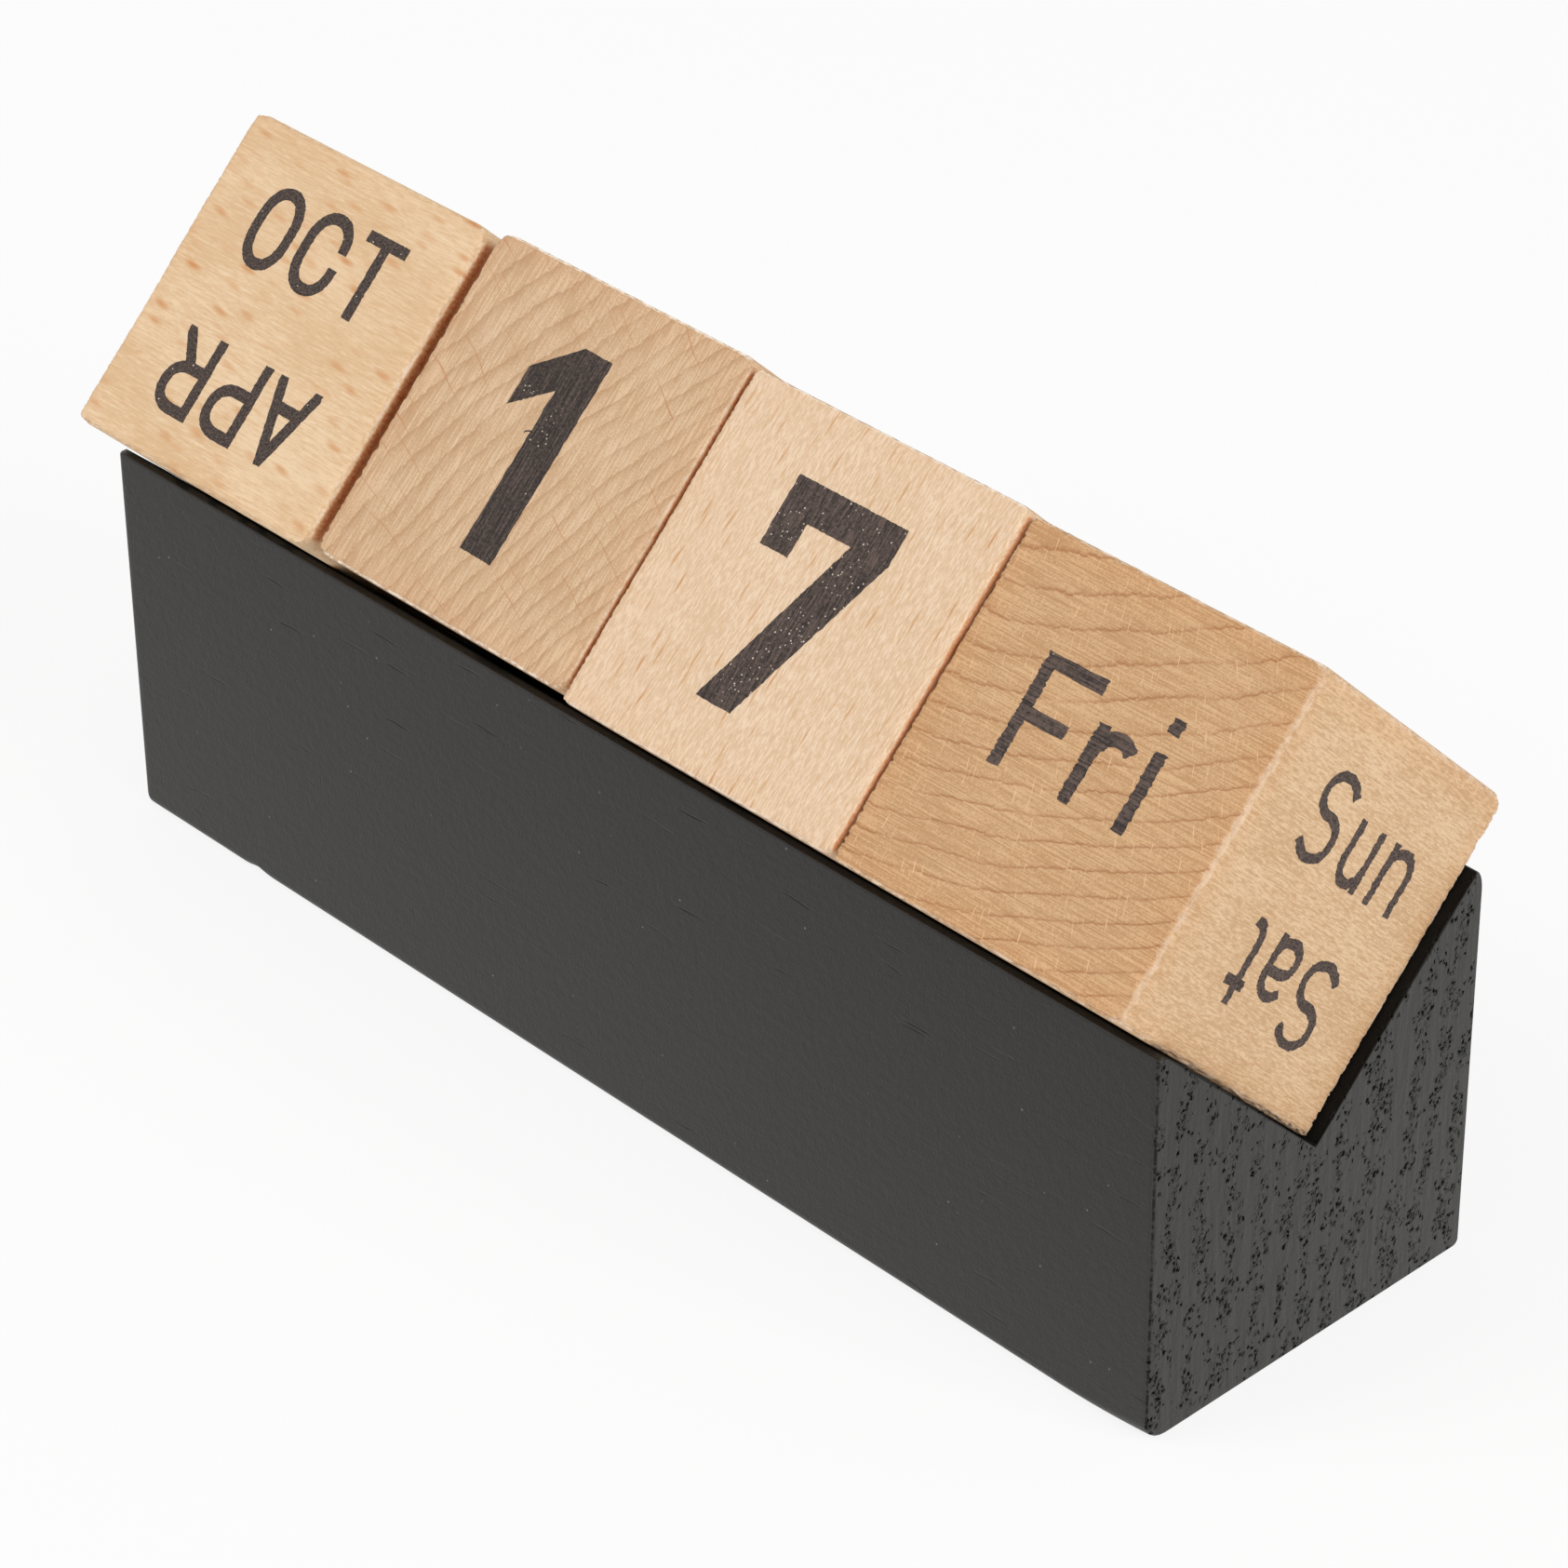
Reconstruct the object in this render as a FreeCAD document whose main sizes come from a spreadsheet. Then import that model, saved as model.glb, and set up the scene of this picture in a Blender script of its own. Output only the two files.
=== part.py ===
import FreeCAD, Part
import math
import os
import Sketcher

# Perpetual desk calendar: a painted wooden block with a V groove along its top, and
# four loose beech cubes that stand on edge in the groove, for the month, the tens
# and the units of the date, and the day of the week.
# Millimetres, +Z up. The origin is the centre of the block's underside, +X runs along
# the row towards the weekday cube, and the cubes' date faces look towards -Y and up.

# Sizes, each with its name in the sheet and what it sets
SIZES = [
    ("block_length", 162.2, "painted block, along the row"),
    ("block_depth", 47.4, "painted block, front to back"),
    ("block_height", 47.7, "painted block, underside to the tops of the ridges"),
    ("ridge_land", 1.1, "narrow flat left on top of each ridge"),
    ("groove_root", 0.5, "narrow flat left by the saw at the bottom of the groove"),
    ("underside_round", 0.8, "rounding of the block's edges round its underside"),
    ("left_corner_round", 1.0, "rounding of the two upright edges of the left end"),
    ("painted_round", 0.3, "softening of the block's other edges by sanding and paint"),
    ("cube_edge", 40.0, "month, tens and units cubes"),
    ("weekday_undersize", 0.4, "how much smaller the weekday cube is, cut from a thinner stick"),
    ("seat_gap", 0.2, "from a cube's lower faces to the groove walls"),
    ("tens_rise", 0.65, "how much higher than the others the tens cube sits on its front wall"),
    ("month_gap", 1.65, "between the month cube and the tens cube"),
    ("date_gap", 0.3, "between the tens cube and the units cube"),
    ("weekday_gap", 0.3, "between the units cube and the weekday cube"),
    ("right_inset", 1.3, "from the weekday cube's end face to the block's right end"),
    ("stick_round", 1.0, "rounding of a cube's four edges that run with the grain"),
    ("crosscut_round", 0.45, "rounding of a cube's eight edges that were cut across the grain"),
]
SHEET = "sizes"

# The groove walls are square to each other, so each wall slopes at 45 degrees
WALL_SLOPE = 45.0
QUARTER_TURN = 90.0

# The cubes from right to left along the row: name, how much smaller than a full cube it
# is, gap to its right, how much it is raised along its back wall, and the way that its
# grain runs
ROW = [
    ("weekday_cube", "weekday_undersize", "right_inset", None, "face to back"),
    ("units_cube", None, "weekday_gap", None, "up the face"),
    ("tens_cube", None, "date_gap", "tens_rise", "face to back"),
    ("month_cube", None, "month_gap", None, "along the row"),
]


def make_sheet(doc):
    """Writes the driving sizes into a sheet, one row each, and gives each its alias."""
    sheet = doc.addObject("Spreadsheet::Sheet", SHEET)
    for row, (alias, value, note) in enumerate(SIZES, 1):
        sheet.set(f"A{row}", alias)
        sheet.set(f"B{row}", str(value))
        sheet.set(f"C{row}", note)
        sheet.setAlias(f"B{row}", alias)
    doc.recompute()
    return sheet


def cell(alias):
    """Names a size of the sheet the way an expression does."""
    return f"{SHEET}.{alias}"


def edge_of(undersize_alias):
    """Writes the edge of a cube as an expression of the sheet's sizes."""
    if undersize_alias:
        return f"({cell('cube_edge')} - {cell(undersize_alias)})"
    return cell("cube_edge")


def origin_plane(body, role):
    """Finds one of a body's own origin planes."""
    return next(item for item in body.Origin.OriginFeatures if item.Role == role)


def start_sketch(body, name, role):
    """Puts an empty sketch on one of the body's origin planes."""
    sketch = body.newObject("Sketcher::SketchObject", name)
    sketch.AttachmentSupport = (origin_plane(body, role), [""])
    sketch.MapMode = "FlatFace"
    return sketch


def draw_loop(sketch, corners):
    """Draws a closed loop of straight lines and joins their ends."""
    count = len(corners)
    for index, corner in enumerate(corners):
        following = corners[(index + 1) % count]
        start = FreeCAD.Vector(corner[0], corner[1], 0)
        end = FreeCAD.Vector(following[0], following[1], 0)
        sketch.addGeometry(Part.LineSegment(start, end))
    for index in range(count):
        sketch.addConstraint(Sketcher.Constraint("Coincident", index, 2, (index + 1) % count, 1))


def set_dimension(sketch, constraint, name, size):
    """Adds a dimension to a sketch and ties it to an expression of the sheet's sizes."""
    index = sketch.addConstraint(constraint)
    sketch.renameConstraint(index, name)
    sketch.setExpression(f"Constraints.{name}", size)


def pad_both_ways(body, sketch, name, size):
    """Extrudes a sketch by half of a size to each side of its plane."""
    pad = body.newObject("PartDesign::Pad", name)
    pad.Profile = sketch
    pad.SideType = "Symmetric"
    pad.setExpression("Length", size)
    body.Document.recompute()
    return pad


def round_edges(body, base, name, alias, wanted):
    """Rounds those edges of a feature that a test picks by their position."""
    picked = [f"Edge{n}" for n, edge in enumerate(base.Shape.Edges, 1) if wanted(edge)]
    fillet = body.newObject("PartDesign::Fillet", name)
    fillet.Base = (base, picked)
    fillet.setExpression("Radius", cell(alias))
    body.Document.recompute()
    return fillet


def make_block(doc, sheet):
    """The long block: an extruded profile with a square V groove between two ridges."""
    body = doc.addObject("PartDesign::Body", "v_groove_block")
    half_depth = sheet.block_depth / 2
    half_root = sheet.groove_root / 2
    ridge = half_depth - sheet.ridge_land
    top = sheet.block_height
    root = top - (ridge - half_root)

    profile = start_sketch(body, "groove_profile", "YZ_Plane")
    corners = [(-half_depth, 0), (half_depth, 0), (half_depth, top), (ridge, top)]
    corners += [(half_root, root), (-half_root, root), (-ridge, top), (-half_depth, top)]
    draw_loop(profile, corners)
    underside, back, back_land, back_wall, floor, front_wall, front_land, front = range(len(corners))
    start, end = 1, 2
    origin_point = (-1, 1)
    upright_axis = -2
    for line in (underside, back_land, front_land):
        profile.addConstraint(Sketcher.Constraint("Horizontal", line))
    for line in (back, front):
        profile.addConstraint(Sketcher.Constraint("Vertical", line))
    centred = Sketcher.Constraint("Symmetric", underside, start, underside, end, *origin_point)
    profile.addConstraint(centred)
    mirrored = Sketcher.Constraint("Symmetric", floor, start, floor, end, upright_axis)
    profile.addConstraint(mirrored)
    profile.addConstraint(Sketcher.Constraint("Equal", back, front))
    profile.addConstraint(Sketcher.Constraint("Equal", back_land, front_land))
    profile.addConstraint(Sketcher.Constraint("Perpendicular", back_wall, front_wall))
    depth = Sketcher.Constraint("DistanceX", underside, start, underside, end, sheet.block_depth)
    set_dimension(profile, depth, "depth", cell("block_depth"))
    height = Sketcher.Constraint("DistanceY", back, start, back, end, sheet.block_height)
    set_dimension(profile, height, "height", cell("block_height"))
    land = Sketcher.Constraint("DistanceX", front_land, end, front_land, start, sheet.ridge_land)
    set_dimension(profile, land, "land", cell("ridge_land"))
    saw_cut = Sketcher.Constraint("DistanceX", floor, end, floor, start, sheet.groove_root)
    set_dimension(profile, saw_cut, "saw_cut", cell("groove_root"))

    solid = pad_both_ways(body, profile, "block_pad", cell("block_length"))

    left = -sheet.block_length / 2
    near = sheet.painted_round / 2

    def upright_on_left(edge):
        box = edge.BoundBox
        return abs(box.XMax - left) < near and box.YLength < near and box.ZLength > top / 2

    def on_underside(edge):
        return edge.BoundBox.ZMax < near

    def still_sharp(edge):
        # straight edges between two flat faces, the groove root's corners left out
        box = edge.BoundBox
        along_root = box.XLength > near and abs(box.ZMax - root) < near
        return box.ZMin > sheet.underside_round - near and not along_root and box.DiagonalLength > near

    corner = round_edges(body, solid, "left_corners", "left_corner_round", upright_on_left)
    foot = round_edges(body, corner, "underside_edges", "underside_round", on_underside)
    round_edges(body, foot, "painted_edges", "painted_round", still_sharp)
    return body


def make_cube(doc, sheet, name, undersize_alias):
    """One cube, cut from a stick whose grain runs along Z here, centred on the origin."""
    body = doc.addObject("PartDesign::Body", name)
    edge = edge_of(undersize_alias)
    undersize = getattr(sheet, undersize_alias) if undersize_alias else 0
    half = (sheet.cube_edge - undersize) / 2
    section = start_sketch(body, f"{name}_section", "XY_Plane")
    draw_loop(section, [(-half, -half), (half, -half), (half, half), (-half, half)])
    front, right, back, left = range(4)
    start, end = 1, 2
    origin_point = (-1, 1)
    for line in (front, back):
        section.addConstraint(Sketcher.Constraint("Horizontal", line))
    for line in (right, left):
        section.addConstraint(Sketcher.Constraint("Vertical", line))
    centred = Sketcher.Constraint("Symmetric", front, start, back, start, *origin_point)
    section.addConstraint(centred)
    section.addConstraint(Sketcher.Constraint("Equal", front, right))
    side = Sketcher.Constraint("DistanceX", front, start, front, end, half + half)
    set_dimension(section, side, "side", edge)

    blank = pad_both_ways(body, section, f"{name}_blank", edge)

    def with_grain(line):
        return line.BoundBox.ZLength > half

    def across_grain(line):
        return line.BoundBox.ZLength < half

    eased = round_edges(body, blank, f"{name}_stick_edges", "stick_round", with_grain)
    round_edges(body, eased, f"{name}_crosscut_edges", "crosscut_round", across_grain)
    return body


def grain_turn(grain):
    """The turn that lays a cube's grain along the row, up its face, or face to back."""
    row_axis = FreeCAD.Vector(1, 0, 0)
    cross_axis = FreeCAD.Vector(0, 1, 0)
    turns = {
        "along the row": FreeCAD.Rotation(cross_axis, QUARTER_TURN),
        "up the face": FreeCAD.Rotation(row_axis, -QUARTER_TURN),
        "face to back": FreeCAD.Rotation(),
    }
    return turns[grain]


def stand_in_groove(body, edge, right_side, rise_alias, grain):
    """Tips a cube over on its lower edge and sets it in the groove, clear of both walls."""
    tip = FreeCAD.Rotation(FreeCAD.Vector(1, 0, 0), WALL_SLOPE)
    body.Placement = FreeCAD.Placement(FreeCAD.Vector(), tip.multiply(grain_turn(grain)))
    rise = cell(rise_alias) if rise_alias else "0"
    walls_meet = f"{cell('block_height')} - {cell('block_depth')} / 2 + {cell('ridge_land')}"
    up_from_walls = f"({cell('seat_gap')} + {edge} / 2) * sqrt(2)"
    body.setExpression("Placement.Base.x", f"{right_side} - {edge} / 2")
    body.setExpression("Placement.Base.y", f"{rise} / sqrt(2)")
    body.setExpression("Placement.Base.z", f"{walls_meet} + {up_from_walls} + {rise} / sqrt(2)")


def check(doc, bodies):
    """Stops before anything is written if a feature failed or a solid isn't sound."""
    for item in doc.Objects:
        if "Invalid" in item.State or "Error" in item.State:
            raise RuntimeError(f"{item.Name} did not build: {item.State}")
    for body in bodies:
        shape = body.Shape
        if shape.isNull() or not shape.isValid() or len(shape.Solids) != 1:
            raise RuntimeError(f"{body.Label} is not one sound solid")
        size = shape.BoundBox
        spans = (round(size.XLength, 2), round(size.YLength, 2), round(size.ZLength, 2))
        print(body.Label, "spans", spans, "volume", round(shape.Volume))


def main():
    doc = FreeCAD.newDocument("desk_calendar")
    sheet = make_sheet(doc)
    bodies = [make_block(doc, sheet)]
    right_side = f"{cell('block_length')} / 2"
    for name, undersize_alias, gap_alias, rise_alias, grain in ROW:
        edge = edge_of(undersize_alias)
        right_side = f"{right_side} - {cell(gap_alias)}"
        cube = make_cube(doc, sheet, name, undersize_alias)
        stand_in_groove(cube, edge, right_side, rise_alias, grain)
        right_side = f"{right_side} - {edge}"
        bodies.append(cube)
    doc.recompute()
    check(doc, bodies)

    # The groove takes away the wedge between its walls, less the tip below its root
    plain = sheet.block_length * sheet.block_depth * sheet.block_height
    mouth = sheet.block_depth - 2 * sheet.ridge_land
    wedge = (math.pow(mouth, 2) - math.pow(sheet.groove_root, 2)) / 4 * sheet.block_length
    print("block less groove", round(plain - wedge), "as built", round(bodies[0].Shape.Volume))

    os.makedirs("parts", exist_ok=True)
    for body in bodies:
        body.Shape.exportStep(f"parts/{body.Label}.step")


main()
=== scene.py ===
import math
import re
from collections import Counter

import bmesh
import bpy
from mathutils import Euler, Matrix, Vector, geometry, noise


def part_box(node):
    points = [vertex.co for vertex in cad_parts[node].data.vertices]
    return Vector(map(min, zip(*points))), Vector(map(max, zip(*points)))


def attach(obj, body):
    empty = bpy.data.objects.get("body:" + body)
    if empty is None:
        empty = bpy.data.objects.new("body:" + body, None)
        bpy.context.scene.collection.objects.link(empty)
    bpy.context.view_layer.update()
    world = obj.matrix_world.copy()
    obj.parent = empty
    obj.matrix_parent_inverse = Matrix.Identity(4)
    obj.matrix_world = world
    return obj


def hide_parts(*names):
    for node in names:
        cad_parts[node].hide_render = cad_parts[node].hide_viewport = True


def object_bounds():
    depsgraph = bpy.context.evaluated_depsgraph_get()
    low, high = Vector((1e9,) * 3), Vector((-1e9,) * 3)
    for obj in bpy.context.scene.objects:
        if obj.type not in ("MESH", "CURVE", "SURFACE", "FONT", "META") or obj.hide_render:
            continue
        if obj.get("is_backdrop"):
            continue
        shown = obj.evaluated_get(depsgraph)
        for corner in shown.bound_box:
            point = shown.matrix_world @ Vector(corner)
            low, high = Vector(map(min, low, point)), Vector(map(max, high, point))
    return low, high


# Perpetual desk calendar: a black wooden block with a V groove along its top, and four
# beech cubes that stand on edge in it, for the month, the two figures of the date and
# the day of the week. Metres, in the frame of the solids; millimetres where MM is named.
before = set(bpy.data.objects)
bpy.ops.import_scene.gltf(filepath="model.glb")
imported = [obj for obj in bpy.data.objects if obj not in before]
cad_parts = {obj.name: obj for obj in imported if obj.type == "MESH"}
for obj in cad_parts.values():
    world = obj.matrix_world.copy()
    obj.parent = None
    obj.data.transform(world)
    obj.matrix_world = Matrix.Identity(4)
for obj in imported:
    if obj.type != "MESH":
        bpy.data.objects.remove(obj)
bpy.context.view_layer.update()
MM = 0.001


# Painted block
# One length of open-pored wood, planed square, with a V sawn along its top. It is
# sanded and sprayed satin black, and the end grain drinks the paint, so its pores stay
# open there. The ridges beside the V keep a narrow flat.
BLOCK = "v_groove_block"
FALL = (1.0, 0.0)
RIDGE_LAND = 1.1 * MM
GROOVE_ROOT = 0.5 * MM
FRONT_FOOT_ROUND = 1.5 * MM
FOOT_WORN = (13.0 * MM, 1.4 * MM)
BACK_FOOT_ROUND = 0.7 * MM
BACK_RIDGE_FALL = 2.6 * MM
THIN_ROUND = 0.3 * MM
LEFT_ROUND = 1.1 * MM
WALL_SWELL = (7.0 * MM, 0.19 * MM)
STATIONS = 240
CORNER_STEPS, LEFT_STEPS, RIGHT_STEPS = 6, 7, 4
FOOT_CHIP = (-60.4 * MM, 1.3 * MM, 0.4 * MM)
FOOT_BAND = 3.0 * MM
FOOT_WAVE = 0.15 * MM
SHARP_FROM = math.radians(30)
BLOCK_RINGS = 4.3
PAINT_BLACK = (0.0108, 0.0098, 0.0079)
PAINT_GREY = (0.0172, 0.0158, 0.0130)
PAINT_END = (0.0330, 0.0315, 0.0288)


def put(tree, kind, sockets=None, **settings):
    """Adds a node to a tree, sets its options and fills or links its sockets."""
    node = tree.nodes.new(kind)
    for name, value in settings.items():
        setattr(node, name, value)
    for key, value in (sockets or {}).items():
        if isinstance(value, bpy.types.NodeSocket):
            tree.links.new(value, node.inputs[key])
        else:
            node.inputs[key].default_value = value
    return node


def calc(tree, operation, *values, clamp=False):
    """One step of arithmetic on numbers."""
    sockets = dict(enumerate(values))
    return put(tree, "ShaderNodeMath", sockets, operation=operation, use_clamp=clamp).outputs[0]


def times(tree, one, other):
    """A number times another."""
    return calc(tree, "MULTIPLY", one, other)


def plus(tree, value, factor, base):
    """A base, and a value times a factor added to it."""
    return calc(tree, "MULTIPLY_ADD", value, factor, base)


def minus(tree, one, other):
    """A number less another."""
    return calc(tree, "SUBTRACT", one, other)


def vector_calc(tree, operation, *values):
    """One step of arithmetic on vectors; a length or a dot product comes out as a number."""
    node = put(tree, "ShaderNodeVectorMath", dict(enumerate(values)), operation=operation)
    number = operation in ("LENGTH", "DOT_PRODUCT", "DISTANCE")
    return node.outputs["Value" if number else "Vector"]


def scaled(tree, vector, factor):
    """A vector times one number."""
    sockets = {0: vector, "Scale": factor}
    return put(tree, "ShaderNodeVectorMath", sockets, operation="SCALE").outputs[0]


def split(tree, vector):
    """The three parts of a vector."""
    return put(tree, "ShaderNodeSeparateXYZ", {0: vector}).outputs


def ramp(tree, value, start, end, low=0.0, high=1.0):
    """A soft step: low up to start, high from end on."""
    sockets = {"Value": value, "From Min": start, "From Max": end, "To Min": low, "To Max": high}
    return put(tree, "ShaderNodeMapRange", sockets, interpolation_type="SMOOTHSTEP").outputs[0]


def grain_noise(tree, vector, stretch=(1, 1, 1), detail=2.0, rough=0.5):
    """Soft noise from 0 to 1, drawn out along the axes whose stretch is small."""
    drawn = vector_calc(tree, "MULTIPLY", vector, stretch)
    sockets = {"Vector": drawn, "Scale": 1.0, "Detail": detail, "Roughness": rough}
    return put(tree, "ShaderNodeTexNoise", sockets).outputs[0]


def scattered(tree, vector, scale):
    """Scattered cells: what is known of the nearest one, and three random draws for it."""
    near = put(tree, "ShaderNodeTexVoronoi", {"Vector": vector, "Scale": scale}).outputs
    return near, put(tree, "ShaderNodeSeparateColor", {0: near["Color"]}).outputs


def mixed(tree, share, one, other, blend="MIX"):
    """One colour fading into another, or into what the other leaves of it."""
    node = put(tree, "ShaderNodeMix", data_type="RGBA", blend_type=blend)
    sockets = (node.inputs[0], node.inputs[6], node.inputs[7])
    for socket, value in zip(sockets, (share, one, other)):
        if isinstance(value, bpy.types.NodeSocket):
            tree.links.new(value, socket)
        else:
            socket.default_value = value
    return node.outputs[2]


def new_group(name, kind, inputs, outputs):
    """An empty node group with named sockets, its input node and its output node."""
    tree = bpy.data.node_groups.new(name, kind)
    for side, sockets in (("INPUT", inputs), ("OUTPUT", outputs)):
        for label, sort in sockets:
            sort = f"NodeSocket{sort}"
            tree.interface.new_socket(name=label, in_out=side, socket_type=sort)
    nodes = tree.nodes
    return tree, nodes.new("NodeGroupInput").outputs, nodes.new("NodeGroupOutput").inputs


def local_place(tree, centre, turn):
    """Object coordinates in millimetres from a piece's own centre and along its own axes."""
    where = put(tree, "ShaderNodeTexCoord").outputs["Object"]
    sockets = {"Vector": where, "Location": centre, "Rotation": turn, "Scale": (MM, MM, MM)}
    return put(tree, "ShaderNodeMapping", sockets, vector_type="TEXTURE").outputs[0]


def finish_shader(tree, colour, roughness, height, gloss, dark=0.0):
    """Joins a colour, a roughness and a relief in millimetres to the surface shader. Painted
    shade in a hollow is given as black metal, the one surface that throws nothing back."""
    bump = put(tree, "ShaderNodeBump", {"Height": height, "Distance": MM, "Strength": 1.0})
    sockets = {"Base Color": colour, "Roughness": roughness, "Normal": bump.outputs[0]}
    sockets.update({"Specular IOR Level": gloss, "Metallic": dark})
    shader = put(tree, "ShaderNodeBsdfPrincipled", sockets)
    put(tree, "ShaderNodeOutputMaterial", {"Surface": shader.outputs[0]})


def new_material(name):
    """An empty node material."""
    material = bpy.data.materials.new(name)
    material.use_nodes = True
    material.node_tree.nodes.clear()
    return material


def black_paint(low, high):
    """Satin black over wood: open pores on both ends, long shallow dents along the sides."""
    material = new_material("satin_black_paint")
    tree = material.node_tree
    place = local_place(tree, (low + high) / 2, (0, 0, 0))
    x, y, z = split(tree, place)[:3]
    half = (high - low) / 2 / MM

    # The ends: crowds of pores that follow the year rings, which lean and sway
    on_end = ramp(tree, calc(tree, "ABSOLUTE", x), half.x - 0.35, half.x - 0.1)
    sway = grain_noise(tree, place, (0.02, 0.05, 0.05), detail=1.0)
    lean = plus(tree, z, -0.10, y)
    ring = plus(tree, sway, 9.0, lean)
    band = calc(tree, "SINE", times(tree, ring, math.tau / BLOCK_RINGS))
    patch = grain_noise(tree, place, (0.05, 0.5, 0.24))
    crowd = plus(tree, patch, 2.7, times(tree, band, 0.33))
    flat = vector_calc(tree, "MULTIPLY", place, (0.02, 1.0, 0.85))
    bend = put(tree, "ShaderNodeTexNoise", {"Vector": flat, "Scale": 1.9}).outputs["Color"]
    flat = vector_calc(tree, "ADD", flat, scaled(tree, bend, 0.9))
    cell, draw = scattered(tree, flat, 1.9)
    open_pore = ramp(tree, plus(tree, draw[0], 0.8, crowd), 1.93, 2.03)
    size = plus(tree, draw[1], 0.22, 0.24)
    away = calc(tree, "DIVIDE", cell["Distance"], size)
    shown = times(tree, open_pore, on_end)
    pore = times(tree, ramp(tree, away, 0.7, 1.15, *FALL), shown)
    rim = times(tree, ramp(tree, away, 1.1, 2.0, *FALL), shown)
    combed = times(tree, grain_noise(tree, place, (0.05, 0.8, 0.12)), on_end)
    beads = ramp(tree, grain_noise(tree, place, (0.4, 2.0, 2.0)), 0.4, 0.56, 0.15, 1.0)
    # The corner line down the right end: dark paint built up on the edge, deepened with painted
    # shade
    seam = ramp(tree, calc(tree, "ABSOLUTE", y), half.y - 0.35, half.y - 0.12)
    seam = times(tree, times(tree, seam, beads), ramp(tree, x, half.x - 0.35, half.x - 0.1))

    # The walls of the V, darkened with painted shade
    ridge = half.z - half.y + RIDGE_LAND / MM
    groove_shade = ramp(tree, minus(tree, z, calc(tree, "ABSOLUTE", y)), ridge - 0.2, ridge - 0.05)

    # The sides: dents and raised grain that run along the block, and spray mist
    drift = grain_noise(tree, place, (0.2, 0.3, 0.3), detail=1.0)
    across = plus(tree, drift, 0.9, calc(tree, "ADD", y, z))
    long_way = put(tree, "ShaderNodeCombineXYZ", {0: times(tree, x, 0.17), 1: across})
    long_way = long_way.outputs[0]
    dent_cell, dent_draw = scattered(tree, long_way, 0.36)
    apart = vector_calc(tree, "SUBTRACT", long_way, dent_cell["Position"])
    apart = vector_calc(tree, "MULTIPLY", apart, (2.3, 6.5, 0.0))
    dent = ramp(tree, vector_calc(tree, "LENGTH", apart), 0.2, 1.2, *FALL)
    dent = times(tree, dent, ramp(tree, dent_draw[0], 0.45, 0.9))
    grouped = ramp(tree, grain_noise(tree, place, (0.03, 0.06, 0.06), detail=1.0), 0.45, 0.55)
    dent = times(tree, dent, calc(tree, "SUBTRACT", grouped, on_end, clamp=True))
    raised = grain_noise(tree, place, (0.08, 1.2, 1.2), detail=3.0)
    mist = grain_noise(tree, place, (3.2, 3.2, 3.2), detail=3.0, rough=0.65)
    orange_peel = grain_noise(tree, place, (0.9, 0.9, 0.9), detail=1.0)

    # Fine pale dust that sits on the paint
    dust_cell, dust_draw = scattered(tree, place, 0.34)
    speck = ramp(tree, dust_cell["Distance"], 0.03, 0.06, *FALL)
    speck = times(tree, speck, ramp(tree, dust_draw[1], 0.94, 0.98))

    tone = mixed(tree, ramp(tree, mist, 0.35, 0.65), (*PAINT_BLACK, 1), (*PAINT_GREY, 1))
    tone = mixed(tree, times(tree, on_end, 0.7), tone, (*PAINT_END, 1))
    # Painted shade: the pores, the walls of the V and the corner line go towards black and to
    # black metal
    hollow_shade = calc(tree, "MAXIMUM", pore, times(tree, groove_shade, 0.6))
    hollow_shade = calc(tree, "MAXIMUM", hollow_shade, times(tree, seam, 0.6))
    tone = mixed(tree, hollow_shade, tone, (0.0008, 0.0007, 0.0006, 1))
    tone = mixed(tree, times(tree, speck, 0.6), tone, (0.4, 0.4, 0.38, 1))
    height = times(tree, orange_peel, 0.045)
    reliefs = ((mist, 0.06), (raised, 0.03), (combed, 0.2), (dent, -0.34), (rim, -0.5))
    for relief, depth in (*reliefs, (pore, -0.34)):
        height = plus(tree, relief, depth, height)
    rough = plus(tree, mist, 0.1, plus(tree, hollow_shade, 0.4, 0.38))
    finish_shader(tree, tone, rough, height, 0.31, hollow_shade)
    return material


def block_outline(low, high, inset, foot):
    """The block's section as a ring of (y, z) points, its outer corners rounded, its walls
    a little fuller than flat, and all of its outside drawn in by the inset."""
    half_root = GROOVE_ROOT / 2
    ridge = high.y - RIDGE_LAND
    root = high.z - (ridge - half_root)
    depth, swell = (value / math.sqrt(2) for value in WALL_SWELL)
    fall = inset / 2
    top = high.z - fall
    corners = [
        (low.y + inset, low.z + inset, foot, foot),
        (high.y - inset, low.z + inset, BACK_FOOT_ROUND, BACK_FOOT_ROUND),
        (high.y - inset, top, RIDGE_LAND - inset + fall, BACK_RIDGE_FALL),
        (ridge - depth - swell, high.z - depth + swell, 0, 0),
        (half_root, root, 0, 0),
        (-half_root, root, 0, 0),
        (depth + swell - ridge, high.z - depth + swell, 0, 0),
        (fall - ridge, top, 0, 0),
        (low.y + inset, top, THIN_ROUND, THIN_ROUND),
    ]
    ring = []
    for y, z, across, down in corners:
        if not across:
            ring.append((y, z))
            continue
        side = 1 if y > 0 else -1
        level = 1 if z > (low.z + high.z) / 2 else -1
        arc = []
        for step in range(CORNER_STEPS + 1):
            angle = math.pi / 2 * step / CORNER_STEPS
            in_y = y - side * across * (1 - math.sin(angle))
            arc.append((in_y, z - level * down * (1 - math.cos(angle))))
        ring += arc if side * level < 0 else list(reversed(arc))
    return ring


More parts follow.
